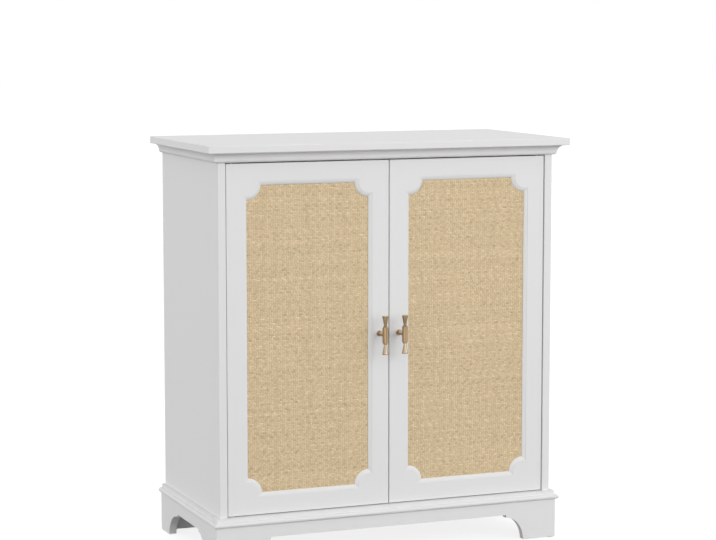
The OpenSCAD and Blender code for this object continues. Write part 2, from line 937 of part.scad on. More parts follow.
// Handles, drawn about the point on the door face at the middle of the post

module bar_half() {
    bell_z = barrel_l / 2 + ring_h;
    rim_z = bar_l / 2 - bell_rim_h;
    square([barrel_r - barrel_step, barrel_l / 2]);
    square([barrel_r, barrel_l / 2 - barrel_step]);
    translate([0, barrel_l / 2]) square([ring_r, ring_h]);
    polygon([[0, bell_z], [neck_r, bell_z], [bell_r, rim_z], [bell_r, bar_l / 2], [0, bar_l / 2]]);
}

module handle_bar() {
    color(brass)
    translate([0, -bar_standoff, 0])
    difference() {
        rotate_extrude() {
            bar_half();
            mirror([0, 1]) bar_half();
        }
        translate([0, barrel_r - 2.5, 0]) rotate([-90, 0, 0]) cylinder(r = post_r + fit_clear, h = barrel_r);
    }
}

module handle_post() {
    color(brass)
    rotate([90, 0, 0])
    difference() {
        union() {
            cylinder(r = post_foot_r, h = post_foot_h - 1);
            cylinder(r = post_foot_r - 1, h = post_foot_h);
            cylinder(r = post_r, h = bar_standoff - barrel_r + 2.5);
        }
        translate([0, 0, -over])
            cylinder(r = handle_screw_r + fit_clear, h = handle_screw_in_post + 1 + over);
    }
}

module handle_screw() {
    color(steel)
    translate([0, door_t + screw_head_t, 0])
    rotate([90, 0, 0]) {
        cylinder(r = screw_head_r, h = screw_head_t);
        cylinder(r = handle_screw_r, h = screw_head_t + door_t + handle_screw_in_post);
    }
}

module at_handle() {
    translate([door_w - handle_from_edge, 0, door_h / 2]) children();
}

module left_door_frame() {
    left_door() door_frame();
}

module right_door_frame() {
    right_door() door_frame();
}

module left_woven_panel() {
    left_door() woven_panel();
}

module right_woven_panel() {
    right_door() woven_panel();
}

module left_backing_board() {
    left_door() backing_board();
}

module right_backing_board() {
    right_door() backing_board();
}

module left_panel_beads() {
    left_door() panel_beads();
}

module right_panel_beads() {
    right_door() panel_beads();
}

module left_pivot_bushes() {
    left_door() pivot_bushes();
}

module right_pivot_bushes() {
    right_door() pivot_bushes();
}

module left_strike_plate() {
    left_door() strike_plate();
}

module right_strike_plate() {
    right_door() strike_plate();
}

module left_handle_bar() {
    left_door() at_handle() handle_bar();
}

module right_handle_bar() {
    right_door() at_handle() handle_bar();
}

module left_handle_post() {
    left_door() at_handle() handle_post();
}

module right_handle_post() {
    right_door() at_handle() handle_post();
}

module left_handle_screw() {
    left_door() at_handle() handle_screw();
}

module right_handle_screw() {
    right_door() at_handle() handle_screw();
}

top_panel();
crown_front();
crown_left();
crown_right();
side_panel_left();
side_panel_right();
bottom_panel();
front_top_rail();
back_top_rail();
back_panel_left();
back_panel_right();
back_joining_strip();
lower_shelf();
upper_shelf();
shelf_pins();
base_moulding_front();
base_moulding_left();
base_moulding_right();
front_apron();
left_apron();
right_apron();
back_apron();
corner_blocks();
floor_glides();
pivot_pins();
magnetic_catches();
cam_discs();
cam_bolts();
wooden_dowels();
top_screws();
plinth_screws();
left_door_frame();
left_woven_panel();
left_backing_board();
left_panel_beads();
left_pivot_bushes();
left_strike_plate();
left_handle_bar();
left_handle_post();
left_handle_screw();
right_door_frame();
right_woven_panel();
right_backing_board();
right_panel_beads();
right_pivot_bushes();
right_strike_plate();
right_handle_bar();
right_handle_post();
right_handle_screw();
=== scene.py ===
"""Looks of a two-door sideboard: woven panels, small fittings, finishes and a studio.

They are built round the sideboard's fixed frame. Lengths are in metres. X runs to the right, Y from
the doors to the back and Z up from the floor.
"""

import math

import bmesh
import bpy
from bpy.props import FloatProperty, FloatVectorProperty, PointerProperty
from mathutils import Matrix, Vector


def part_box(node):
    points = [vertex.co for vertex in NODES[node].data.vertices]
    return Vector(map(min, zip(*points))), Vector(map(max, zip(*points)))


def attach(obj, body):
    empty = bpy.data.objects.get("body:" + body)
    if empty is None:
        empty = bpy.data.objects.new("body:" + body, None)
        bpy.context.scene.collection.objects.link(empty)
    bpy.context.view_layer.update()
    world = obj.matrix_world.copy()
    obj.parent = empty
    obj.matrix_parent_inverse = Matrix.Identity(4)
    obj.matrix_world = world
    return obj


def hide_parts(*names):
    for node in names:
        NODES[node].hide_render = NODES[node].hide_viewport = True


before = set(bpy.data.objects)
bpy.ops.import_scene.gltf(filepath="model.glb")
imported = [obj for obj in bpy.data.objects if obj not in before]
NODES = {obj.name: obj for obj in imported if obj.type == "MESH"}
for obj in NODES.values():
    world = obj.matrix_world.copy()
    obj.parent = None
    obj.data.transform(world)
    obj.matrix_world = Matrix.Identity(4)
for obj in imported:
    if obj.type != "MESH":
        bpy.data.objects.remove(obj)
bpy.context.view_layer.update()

bl_info = {
    "name": "Rattan Sideboard",
    "version": (1, 0, 0),
    "blender": (4, 5, 0),
    "location": "3D View > Sidebar > Sideboard",
    "description": "Weaves the door panels, details the fittings, paints the boards and sets up a studio",
    "category": "Object",
}

SIDES = ("left", "right")
STRAND_MAP = "strands"
MERGE_DISTANCE = 1e-6
TOLERANCE = 1e-5

PAINTED = (
    "top_panel", "crown_front", "crown_left", "crown_right", "side_panel_left", "side_panel_right",
    "bottom_panel", "front_top_rail", "back_top_rail", "lower_shelf", "upper_shelf",
    "base_moulding_front", "base_moulding_left", "base_moulding_right",
    "front_apron", "left_apron", "right_apron", "back_apron", "corner_blocks",
    "left_door_frame", "right_door_frame", "left_panel_beads", "right_panel_beads",
)
LINED = ("back_panel_left", "back_panel_right", "left_backing_board", "right_backing_board")
MOULDED = (
    "back_joining_strip", "floor_glides", "magnetic_catches", "left_pivot_bushes", "right_pivot_bushes",
)
CAST = ("shelf_pins", "cam_discs")
STEEL = (
    "pivot_pins", "cam_bolts", "top_screws", "plinth_screws",
    "left_strike_plate", "right_strike_plate", "left_handle_screw", "right_handle_screw",
)
TIMBER = ("wooden_dowels",)
BARS = ("left_handle_bar", "right_handle_bar")
POSTS = ("left_handle_post", "right_handle_post")


def srgb(red, green, blue):
    """A colour as given, turned by the sRGB curve into the linear values that a shader takes."""
    return tuple(c / 12.92 if c <= 0.04045 else ((c + 0.055) / 1.055) ** 2.4 for c in (red, green, blue))


def colour_setting(name, description, red, green, blue):
    return FloatVectorProperty(
        name=name, description=description, default=srgb(red, green, blue),
        subtype="COLOR", size=3, min=0.0, max=1.0,
    )


def length_setting(name, description, default, highest):
    return FloatProperty(
        name=name, description=description, default=default,
        min=0.0, max=highest, unit="LENGTH", precision=5,
    )


class WeaveSettings(bpy.types.PropertyGroup):
    """Sizes of the woven panels"""

    upright_pitch: length_setting(
        "Upright pitch", "Distance between the middles of two uprights", 0.0047, 0.02)
    upright_width: length_setting(
        "Upright width", "Width of a strand that runs up the panel", 0.0046, 0.02)
    row_pitch: length_setting(
        "Row pitch", "Distance between the middles of two strands across", 0.0033, 0.02)
    row_width: length_setting(
        "Row width", "Width of a strand that runs across the panel", 0.00325, 0.02)
    crown: length_setting("Crown", "Height of the rounded front of a strand", 0.0005, 0.005)
    lift: length_setting("Lift", "Clearance between a strand and the one that it crosses", 0.00006, 0.002)
    bow: length_setting("Bow", "Rise of a strand in the middle of its way over two others", 0.0001, 0.002)
    wander: length_setting("Wander", "How far strands stray sideways from a straight line", 0.0007, 0.003)
    wander_size: length_setting("Wander size", "Distance over which a strand strays to and fro", 0.05, 0.5)


class FittingSettings(bpy.types.PropertyGroup):
    """Sizes of the small fittings and of the front feet"""

    recess_span: length_setting(
        "Recess span", "Width across the cross recess of a screw head", 0.0046, 0.01)
    recess_slot: length_setting("Recess slot", "Width of each slot of the cross recess", 0.0011, 0.005)
    recess_depth: length_setting("Recess depth", "Depth of the cross recess", 0.0013, 0.005)
    dome: length_setting("Dome", "Rounding of the edge of a screw head", 0.0012, 0.003)
    pole_t: length_setting("Pole thickness", "Thickness of the steel poles of a catch", 0.0012, 0.004)
    foot_trim: length_setting(
        "Foot trim", "How much slimmer the front feet are than the plain ones", 0.006, 0.02)


class FinishSettings(bpy.types.PropertyGroup):
    """Colours of the finishes"""

    paint: colour_setting("Paint", "Satin white paint of the boards", 0.907, 0.907, 0.908)
    lining: colour_setting("Lining", "White face of the thin boards at the back", 0.88, 0.88, 0.875)
    cane: colour_setting("Cane", "Middle tone of the split cane", 0.876, 0.790, 0.648)
    # Painted shade: the colour mixed in where a strand lies deep between the others
    cane_painted_shade: colour_setting("Cane shade", "Tone of the cane deep between the strands", 0.68, 0.575, 0.42)
    brass: colour_setting("Brass", "Brushed gold of the handles", 0.77, 0.665, 0.515)
    # Partly brush marks and partly painted reflection: the darker streaks of the handles
    brass_streaks_and_painted_reflections: colour_setting("Brass shade", "Darker streaks of the brushed gold", 0.51, 0.42, 0.295)
    # Painted light: the paler gold mixed in where a handle faces up
    brass_painted_light: colour_setting("Pale brass", "Brushed gold where it faces up", 0.85, 0.80, 0.72)
    # Painted shade: the deeper gold mixed in where a handle faces down
    brass_painted_shade: colour_setting("Deep brass", "Brushed gold where it faces down", 0.50, 0.445, 0.34)
    nylon: colour_setting("Nylon", "Moulded white fittings", 0.88, 0.88, 0.86)
    steel: colour_setting("Steel", "Zinc-plated steel", 0.72, 0.73, 0.75)
    zinc: colour_setting("Zinc", "Cast zinc fittings", 0.62, 0.63, 0.65)
    beech: colour_setting("Beech", "Bare beech of the dowels", 0.80, 0.66, 0.48)


class StudioSettings(bpy.types.PropertyGroup):
    """Camera, lamp and background"""

    camera_place: FloatVectorProperty(
        name="Camera place", description="Where the camera stands", default=(-1.777, -4.40985, 1.125),
        subtype="TRANSLATION", unit="LENGTH", size=3,
    )
    camera_yaw: FloatProperty(
        name="Camera yaw", description="Turn of the camera to the right from straight ahead",
        default=math.radians(21.92), subtype="ANGLE",
    )
    camera_pitch: FloatProperty(
        name="Camera pitch", description="Tilt of the camera down from level",
        default=math.radians(6.57), subtype="ANGLE",
    )
    lens: FloatProperty(
        name="Lens", description="Focal length on a sensor 36 mm wide", default=112.47, min=20.0, max=400.0,
        unit="CAMERA",
    )
    sky_low: FloatProperty(
        name="Low sky", description="Brightness of the soft light that comes in level",
        default=1.87, min=0.0, max=4.0,
    )
    sky_high: FloatProperty(
        name="High sky", description="Brightness of the soft light from straight above",
        default=0.31, min=0.0, max=4.0,
    )
    key: FloatProperty(
        name="Key", description="Power of the lamp in front, to the right",
        default=35.0, min=0.0, unit="POWER",
    )
    floor_glow: FloatProperty(
        name="Floor glow",
        description="Light that the camera sees added to the floor, to bring it to white",
        default=0.82, min=0.0, max=1.0,
    )


# Modelling helpers


def deselect_all():
    if bpy.context.mode != "OBJECT":
        bpy.ops.object.mode_set(mode="OBJECT")
    bpy.ops.object.select_all(action="DESELECT")


def make_active(obj):
    deselect_all()
    obj.select_set(True)
    bpy.context.view_layer.objects.active = obj


def edit(obj):
    """Enters edit mode on obj with nothing selected."""
    make_active(obj)
    bpy.ops.object.mode_set(mode="EDIT")
    bpy.ops.mesh.select_mode(type="VERT")
    bpy.ops.mesh.select_all(action="DESELECT")


def pick(test):
    """Selects the points of the mesh in edit mode for which test(place) holds."""
    mesh = bmesh.from_edit_mesh(bpy.context.edit_object.data)
    for vert in mesh.verts:
        vert.select = bool(test(vert.co))
    mesh.select_flush(True)
    mesh.select_flush(False)
    bmesh.update_edit_mesh(bpy.context.edit_object.data)


def named(name):
    obj = bpy.context.active_object
    obj.name = name
    obj.data.name = name
    return obj


def apply_place(obj):
    make_active(obj)
    bpy.ops.object.transform_apply(location=True, rotation=True, scale=True)


def apply_modifiers(obj):
    make_active(obj)
    for modifier in list(obj.modifiers):
        bpy.ops.object.modifier_apply(modifier=modifier.name)


def join(objects, name):
    make_active(objects[0])
    for obj in objects[1:]:
        obj.select_set(True)
    bpy.ops.object.join()
    return named(name)


def repeat(obj, axis, step, count):
    """Repeats obj along an axis, with its copies joined where they meet."""
    make_active(obj)
    bpy.ops.object.modifier_add(type="ARRAY")
    array = obj.modifiers[-1]
    array.use_relative_offset = False
    array.use_constant_offset = True
    array.constant_offset_displace = [step if i == axis else 0.0 for i in range(3)]
    array.count = count
    array.use_merge_vertices = True
    array.merge_threshold = MERGE_DISTANCE
    apply_modifiers(obj)


def trim(obj, place, outward):
    """Cuts off what lies beyond a plane and closes the cut."""
    edit(obj)
    bpy.ops.mesh.select_all(action="SELECT")
    bpy.ops.mesh.bisect(plane_co=place, plane_no=outward, use_fill=True, clear_outer=True)
    bpy.ops.object.mode_set(mode="OBJECT")


def outward_normals(obj):
    edit(obj)
    bpy.ops.mesh.select_all(action="SELECT")
    bpy.ops.mesh.normals_make_consistent(inside=False)
    bpy.ops.object.mode_set(mode="OBJECT")


def smooth(obj, degrees):
    make_active(obj)
    bpy.ops.object.shade_smooth_by_angle(angle=math.radians(degrees))


def copy_of(obj, name):
    make_active(obj)
    bpy.ops.object.duplicate(linked=False)
    return named(name)


def dress(piece, material):
    """Gives a modelled piece its one material."""
    piece.data.materials.clear()
    piece.data.materials.append(material)


# Woven panels

# A twill: each strand across passes over two uprights and under the next two. Each row starts one
# upright further on than the row below it, and after every eight rows the slope turns round.
UPRIGHTS = 4
SHIFTS = (0, 1, 2, 3, 0, 1, 2, 3, 2, 1, 0, 3, 2, 1, 0, 3)
ROWS = len(SHIFTS)

# The strands of the left panel are counted from this number in its middle, and those of the right
# panel from twice the number, so that the two panels differ.
FIRST_STRAND = 400


def crosses_over(upright, row):
    return (upright + SHIFTS[row]) % UPRIGHTS < UPRIGHTS // 2


def strand_stations(over, pitch, sizes):
    """Places and heights of a strand's sections over one repeat, from which strands it lies over."""
    # Half the length over which a strand dives or rises, midway between two that it crosses
    dive = 0.2 * pitch
    level = {True: sizes.lift, False: -sizes.lift - sizes.crown}
    bow = {True: sizes.bow, False: -sizes.bow}
    stations = []
    for i, above in enumerate(over):
        if above == over[i - 1]:
            stations.append((i * pitch, level[above] + bow[above]))
        else:
            stations.append((i * pitch - dive, level[over[i - 1]]))
            stations.append((i * pitch + dive, level[above]))
    start, height = stations[0]
    stations.append((start + len(over) * pitch, height))
    return stations


def make_strand(over, pitch, width, sizes):
    """One repeat of a strand along X, its rounded front towards +Z.

    It starts as a grid of three strips. The middle one is widened and raised to be the flat of the
    front, and the outer edges are bridged to be the back.
    """
    stations = strand_stations(over, pitch, sizes)
    parts = len(stations) - 1
    # The grid lies well away at first, so that no section is picked again in its final place
    aside = 10.0
    widening = 1.9
    inner, outer = 0.3 * width, 0.45 * width
    near = 0.2 / parts
    bpy.ops.mesh.primitive_grid_add(
        x_subdivisions=parts, y_subdivisions=3, size=1.0, location=(aside, 0.0, 0.0))
    strand = named("strand")
    apply_place(strand)
    edit(strand)
    bpy.ops.mesh.select_all(action="SELECT")
    bpy.ops.transform.resize(value=(1.0, width, 1.0))
    pick(lambda co: abs(co.y) < inner)
    bpy.ops.transform.resize(value=(1.0, widening, 1.0), center_override=(aside, 0.0, 0.0))
    bpy.ops.transform.translate(value=(0.0, 0.0, sizes.crown))
    pick(lambda co: abs(co.y) > outer)
    bpy.ops.mesh.bridge_edge_loops()
    for i, (along, height) in enumerate(stations):
        start = aside - 0.5 + i / parts
        pick(lambda co: abs(co.x - start) < near)
        bpy.ops.transform.translate(value=(along - start, 0.0, height))
    bpy.ops.object.mode_set(mode="OBJECT")
    return strand


def make_sheet(name, strands, sizes, spans, along):
    """Repeats a cell of strands over the panel and trims it to its spans, centred on the origin.

    The ends of the strands, which run along the axis given, are cut and closed before their sides.
    """
    sheet = join(strands, name)
    cell = (UPRIGHTS * sizes.upright_pitch, ROWS * sizes.row_pitch)
    # An even number of cells each way, at least one more than the span takes
    counts = [2 * math.ceil(span / step / 2 + 0.5) for span, step in zip(spans, cell)]
    for axis in (0, 1):
        repeat(sheet, axis, cell[axis], counts[axis])
    sheet.location = (-cell[0] * counts[0] / 2, -cell[1] * counts[1] / 2, 0.0)
    apply_place(sheet)
    for axis in (along, 1 - along):
        for side in (-1, 1):
            outward = [float(side) if i == axis else 0.0 for i in range(3)]
            trim(sheet, [spans[axis] / 2 * part for part in outward], outward)
    outward_normals(sheet)
    return sheet


def make_uprights(sizes, spans):
    strands = []
    for upright in range(UPRIGHTS):
        over = [not crosses_over(upright, row) for row in range(ROWS)]
        strand = make_strand(over, sizes.row_pitch, sizes.upright_width, sizes)
        strand.rotation_euler.z = math.pi / 2
        strand.location.x = (upright + 0.5) * sizes.upright_pitch
        apply_place(strand)
        strands.append(strand)
    return make_sheet("cane_uprights", strands, sizes, spans, along=1)


def make_crossings(sizes, spans):
    strands = []
    for row in range(ROWS):
        over = [crosses_over(upright, row) for upright in range(UPRIGHTS)]
        strand = make_strand(over, sizes.upright_pitch, sizes.row_width, sizes)
        strand.location.y = (row + 0.5) * sizes.row_pitch
        apply_place(strand)
        strands.append(strand)
    return make_sheet("cane_crossings", strands, sizes, spans, along=0)


def map_strands(obj, centre, sizes, first):
    """Gives the mesh a UV map that counts uprights across and rows up, from first in its middle."""
    uv_map = obj.data.uv_layers[0]
    uv_map.name = STRAND_MAP
    for loop in obj.data.loops:
        place = obj.data.vertices[loop.vertex_index].co
        across = (place.x - centre.x) / sizes.upright_pitch + first
        uv_map.data[loop.index].uv = (across, (place.z - centre.z) / sizes.row_pitch + first)


def let_wander(obj, sizes):
    """Bends the strands a little from side to side, as cane does."""
    texture = bpy.data.textures.new(obj.name + "_wander", "CLOUDS")
    texture.noise_scale = sizes.wander_size
    for direction in ("X", "Z"):
        make_active(obj)
        bpy.ops.object.modifier_add(type="DISPLACE")
        bend = obj.modifiers[-1]
        bend.texture = texture
        bend.texture_coords = "LOCAL"
        bend.direction = direction
        bend.mid_level = 0.5
        bend.strength = sizes.wander
    apply_modifiers(obj)


class SIDEBOARD_OT_weave_panels(bpy.types.Operator):
    """Weave the cane panels of both doors from strands"""

    bl_idname = "sideboard.weave_panels"
    bl_label = "Weave the Panels"

    def execute(self, context):
        sizes = context.scene.sideboard_weave
        low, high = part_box("left_woven_panel")
        spans = (high.x - low.x, high.z - low.z)
        sheets = {
            "cane_uprights": make_uprights(sizes, spans),
            "cane_crossings": make_crossings(sizes, spans),
        }
        for kind, sheet in sheets.items():
            sheet.rotation_euler.x = math.pi / 2
            apply_place(sheet)
            for number, side in enumerate(SIDES):
                low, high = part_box(side + "_woven_panel")
                centre = (low + high) / 2
                panel = copy_of(sheet, side + "_" + kind)
                panel.location = centre
                apply_place(panel)
                map_strands(panel, centre, sizes, FIRST_STRAND * (number + 1))
                let_wander(panel, sizes)
                smooth(panel, degrees=50)
                dress(panel, cane_material(context, kind, centre.y))
                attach(panel, side + "_door")
                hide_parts(side + "_woven_panel")
            bpy.data.objects.remove(sheet)
        return {"FINISHED"}


# Small fittings

# The head of the plain handle screws in the frame is this thick.
SCREW_HEAD_T = 0.0025


class SIDEBOARD_OT_detail_screws(bpy.types.Operator):
    """Give the handle screws domed heads with a cross recess"""

    bl_idname = "sideboard.detail_screws"
    bl_label = "Detail the Handle Screws"

    def execute(self, context):
        sizes = context.scene.sideboard_fittings
        for side in SIDES:
            node = side + "_handle_screw"
            low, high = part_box(node)
            radius = (high.x - low.x) / 2
            centre = (low + high) / 2
            head = self.head(sizes, radius)
            shank = self.shank(radius / 2, high.y - low.y - SCREW_HEAD_T)
            screw = join([head, shank], side + "_cross_screw")
            screw.rotation_euler.x = -math.pi / 2
            screw.location = (centre.x, high.y - SCREW_HEAD_T, centre.z)
            apply_place(screw)
            smooth(screw, degrees=35)
            dress(screw, plated_steel(context))
            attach(screw, side + "_door")
            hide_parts(node)
        return {"FINISHED"}

    def head(self, sizes, radius):
        """A domed head on the plane z = 0, with a cross recess that narrows from its top down."""
        bpy.ops.mesh.primitive_cylinder_add(
            vertices=48, radius=radius, depth=SCREW_HEAD_T, location=(0.0, 0.0, SCREW_HEAD_T / 2))
        head = named("screw_head")
        apply_place(head)
        edit(head)
        pick(lambda co: co.z > 0.9 * SCREW_HEAD_T)
        bpy.ops.mesh.bevel(offset=sizes.dome, segments=5, profile=0.5, affect="EDGES")
        bpy.ops.object.mode_set(mode="OBJECT")
        top = (0.0, 0.0, SCREW_HEAD_T)
        narrowing = 0.55
        for turn in (0.0, math.pi / 2):
            bpy.ops.mesh.primitive_cube_add(size=1.0, location=top, rotation=(0.0, 0.0, turn))
            slot = named("recess")
            slot.scale = (sizes.recess_span, sizes.recess_slot, 2 * sizes.recess_depth)
            apply_place(slot)
            edit(slot)
            pick(lambda co: co.z < SCREW_HEAD_T)
            bpy.ops.transform.resize(value=(narrowing, narrowing, 1.0), center_override=top)
            make_active(head)
            bpy.ops.object.modifier_add(type="BOOLEAN")
            cut = head.modifiers[-1]
            cut.operation = "DIFFERENCE"
            cut.solver = "EXACT"
            cut.object = slot
            apply_modifiers(head)
            bpy.data.objects.remove(slot)
        return head

    def shank(self, radius, length):
        """A plain shank below the plane z = 0, with its far end rounded."""
        bpy.ops.mesh.primitive_cylinder_add(
            vertices=32, radius=radius, depth=length, location=(0.0, 0.0, -length / 2))
        shank = named("screw_shank")
        apply_place(shank)
        edit(shank)
        pick(lambda co: co.z < -0.9 * length)
        bpy.ops.mesh.bevel(offset=radius / 3, segments=2, affect="EDGES")
        bpy.ops.object.mode_set(mode="OBJECT")
        return shank


class SIDEBOARD_OT_fit_catch_poles(bpy.types.Operator):
    """Set two steel poles into the front of each magnetic catch"""

    bl_idname = "sideboard.fit_catch_poles"
    bl_label = "Fit the Catch Poles"

    def execute(self, context):
        sizes = context.scene.sideboard_fittings
        low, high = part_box("magnetic_catches")
        plate_low, plate_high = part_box("right_strike_plate")
        middle = (plate_low.x + plate_high.x) / 2
        length = 0.55 * (plate_high.x - plate_low.x)
        depth = 0.002
        proud = 0.0001
        rounding = 0.0002
        poles = []
        for level in (0.34, 0.66):
            for side in (-1, 1):
                bpy.ops.mesh.primitive_cube_add(size=1.0)
                pole = named("pole")
                pole.scale = (length, depth, sizes.pole_t)
                pole.location = (
                    side * middle, low.y + depth / 2 - proud, low.z + level * (high.z - low.z))
                apply_place(pole)
                edit(pole)
                pick(lambda co: co.y < low.y)
                bpy.ops.mesh.bevel(offset=rounding, segments=2, affect="EDGES")
                bpy.ops.object.mode_set(mode="OBJECT")
                poles.append(pole)
        catch = join(poles, "catch_poles")
        dress(catch, plated_steel(context))
        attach(catch, "cabinet")
        return {"FINISHED"}


# Front feet


class SIDEBOARD_OT_slim_front_feet(bpy.types.Operator):
    """Replace the front apron with one whose feet are slimmer on both sides of its arch"""

    bl_idname = "sideboard.slim_front_feet"
    bl_label = "Slim the Front Feet"

    def execute(self, context):
        slimmer = context.scene.sideboard_fittings.foot_trim
        plain = NODES["front_apron"]
        apron = bpy.data.objects.new("bracket_front_apron", plain.data.copy())
        context.scene.collection.objects.link(apron)
        edit(apron)
        bpy.ops.mesh.select_all(action="SELECT")
        bpy.ops.mesh.remove_doubles(threshold=MERGE_DISTANCE)
        past_arch = self.arch_half_width(plain) + TOLERANCE
        for side in (-1, 1):
            pick(lambda co: 0.0 < side * co.x < past_arch)
            bpy.ops.transform.translate(value=(side * slimmer, 0.0, 0.0))
        bpy.ops.object.mode_set(mode="OBJECT")
        smooth(apron, degrees=30)
        dress(apron, satin_paint(context))
        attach(apron, "cabinet")
        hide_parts("front_apron")
        return {"FINISHED"}

    def arch_half_width(self, plain):
        """Half the width of the arch at the floor, where the feet come nearest to the middle."""
        floor_level = min(v.co.z for v in plain.data.vertices) + TOLERANCE
        return min(abs(v.co.x) for v in plain.data.vertices if v.co.z < floor_level)


# Shader groups

# Where the last nodes stand in the node editor.
SHADER_PLACE = (1800, 0)
RESULT_PLACE = (2400, 0)


class Graph:
    """Adds nodes to a tree, left to right, and links them."""

    column_width = 190

    def __init__(self, tree):
        self.tree = tree
        self.column = 0

    def add(self, kind, inputs=None, **settings):
        node = self.tree.nodes.new(kind)
        node.location = (self.column * self.column_width, 0)
        self.column += 1
        for key, value in settings.items():
            setattr(node, key, value)
        for key, value in (inputs or {}).items():
            self.feed(node.inputs[key], value)
        return node

    def feed(self, socket, value):
        """Links the socket to another one, or sets it to a plain value."""
        if isinstance(value, bpy.types.NodeSocket):
            self.tree.links.new(value, socket)
        else:
            socket.default_value = value

    def math(self, operation, first, second=0.0):
        return self.add("ShaderNodeMath", {0: first, 1: second}, operation=operation).outputs[0]

    def weigh(self, first, second, share):
        """Two values added, with the share given of the second and the rest of the first."""
        rest = self.math("MULTIPLY", first, 1.0 - share)
        return self.math("ADD", rest, self.math("MULTIPLY", second, share))

    def noise(self, vector, scale, detail=2.0, roughness=0.5):
        return self.add("ShaderNodeTexNoise", {
            "Vector": vector, "Scale": scale, "Detail": detail, "Roughness": roughness,
        }).outputs["Fac"]

    def spread(self, value, low, high, to_low=0.0, to_high=1.0):
        return self.add("ShaderNodeMapRange", {
            "Value": value, "From Min": low, "From Max": high, "To Min": to_low, "To Max": to_high,
        }).outputs["Result"]

    def mix(self, factor, first, second, blend="MIX"):
        """Two colours mixed. The node has other sockets of these names, so they go by number."""
        colours = {0: factor, 6: first, 7: second}
        return self.add("ShaderNodeMix", colours, data_type="RGBA", blend_type=blend).outputs[2]

    def bump(self, height, strength, distance):
        return self.add("ShaderNodeBump", {
            "Height": height, "Strength": strength, "Distance": distance,
        }).outputs["Normal"]


def new_group(name, inputs, outputs):
    """A shader node group with named sockets, as (group, graph, input node, output node)."""
    group = bpy.data.node_groups.new(name, "ShaderNodeTree")
    for socket, kind in inputs:
        group.interface.new_socket(socket, in_out="INPUT", socket_type="NodeSocket" + kind)
    for socket, kind in outputs:
        group.interface.new_socket(socket, in_out="OUTPUT", socket_type="NodeSocket" + kind)
    graph = Graph(group)
    given = graph.add("NodeGroupInput")
    result = group.nodes.new("NodeGroupOutput")
    result.location = RESULT_PLACE
    return group, graph, given, result


def fill_outputs(group, result, values):
    for name, socket in values.items():
        group.links.new(socket, result.inputs[name])


def mottle_group():
    """Slow and fine unevenness of a finish, as a tone near 1 and a roughness near the one given."""
    name = "Finish mottle"
    if name in bpy.data.node_groups:
        return bpy.data.node_groups[name]
    group, graph, given, result = new_group(
        name,
        [("Color", "Color"), ("Roughness", "Float"), ("Amount", "Float"), ("Grain height", "Float"),
         ("Grain scale", "Float")],
        [("Color", "Color"), ("Roughness", "Float"), ("Normal", "Vector")])
    place = graph.add("ShaderNodeTexCoord").outputs["Object"]
    cloud = graph.noise(place, scale=7.0, detail=4.0, roughness=0.6)
    fine = graph.noise(place, scale=260.0, detail=3.0, roughness=0.6)
    grain = graph.noise(place, given.outputs["Grain scale"])
    both = graph.weigh(cloud, fine, 0.3)
    offset = graph.math("MULTIPLY", graph.math("SUBTRACT", both, 0.5), given.outputs["Amount"])
    tone = graph.math("ADD", offset, 1.0)
    tinted = graph.add("ShaderNodeVectorMath", {
        0: given.outputs["Color"], "Scale": tone,
    }, operation="SCALE")
    roughening = 1.6
    rough = graph.math("ADD", given.outputs["Roughness"], graph.math("MULTIPLY", offset, roughening))
    normal = graph.bump(grain, strength=1.0, distance=given.outputs["Grain height"])
    fill_outputs(group, result, {"Color": tinted.outputs["Vector"], "Roughness": rough, "Normal": normal})
    return group


def streak_group():
    """Streaks for grain and brushing, which on the brass also stand for painted reflections, and are long
    along the axis where the stretch is smallest.
    """
    name = "Streaks"
    if name in bpy.data.node_groups:
        return bpy.data.node_groups[name]
    group, graph, given, result = new_group(
        name,
        [("Light", "Color"), ("Dark", "Color"), ("Stretch", "Vector"), ("Contrast", "Float"),
         ("Roughness", "Float"), ("Depth", "Float")],
        [("Color", "Color"), ("Roughness", "Float"), ("Normal", "Vector")])
    place = graph.add("ShaderNodeTexCoord").outputs["Object"]
    stretched = graph.add("ShaderNodeVectorMath", {
        0: place, 1: given.outputs["Stretch"],
    }, operation="MULTIPLY").outputs["Vector"]
    broad = graph.noise(stretched, scale=1.0, detail=3.0, roughness=0.55)
    fine = graph.noise(stretched, scale=5.0, detail=3.0, roughness=0.6)
    both = graph.weigh(broad, fine, 0.4)
    centred = graph.math("MULTIPLY", graph.math("SUBTRACT", both, 0.5), given.outputs["Contrast"])
    share = graph.add("ShaderNodeMath", {0: centred, 1: 0.5}, operation="ADD", use_clamp=True).outputs[0]
    colour = graph.mix(share, given.outputs["Light"], given.outputs["Dark"])
    roughening = 0.12
    rough = graph.math("ADD", given.outputs["Roughness"], graph.math("MULTIPLY", centred, roughening))
    normal = graph.bump(fine, strength=1.0, distance=given.outputs["Depth"])
    fill_outputs(group, result, {"Color": colour, "Roughness": rough, "Normal": normal})
    return group


# The values that most of a noise lies between.
NOISE_RANGE = (0.3, 0.7)


def strand_spot(graph, across, along, scales, depth=0.0):
    """Where a strand's pattern is read, with its scales across the strands and along them."""
    return graph.add("ShaderNodeCombineXYZ", {
        "X": graph.math("MULTIPLY", across, scales[0]),
        "Y": graph.math("MULTIPLY", along, scales[1]),
        "Z": depth,
    }).outputs["Vector"]


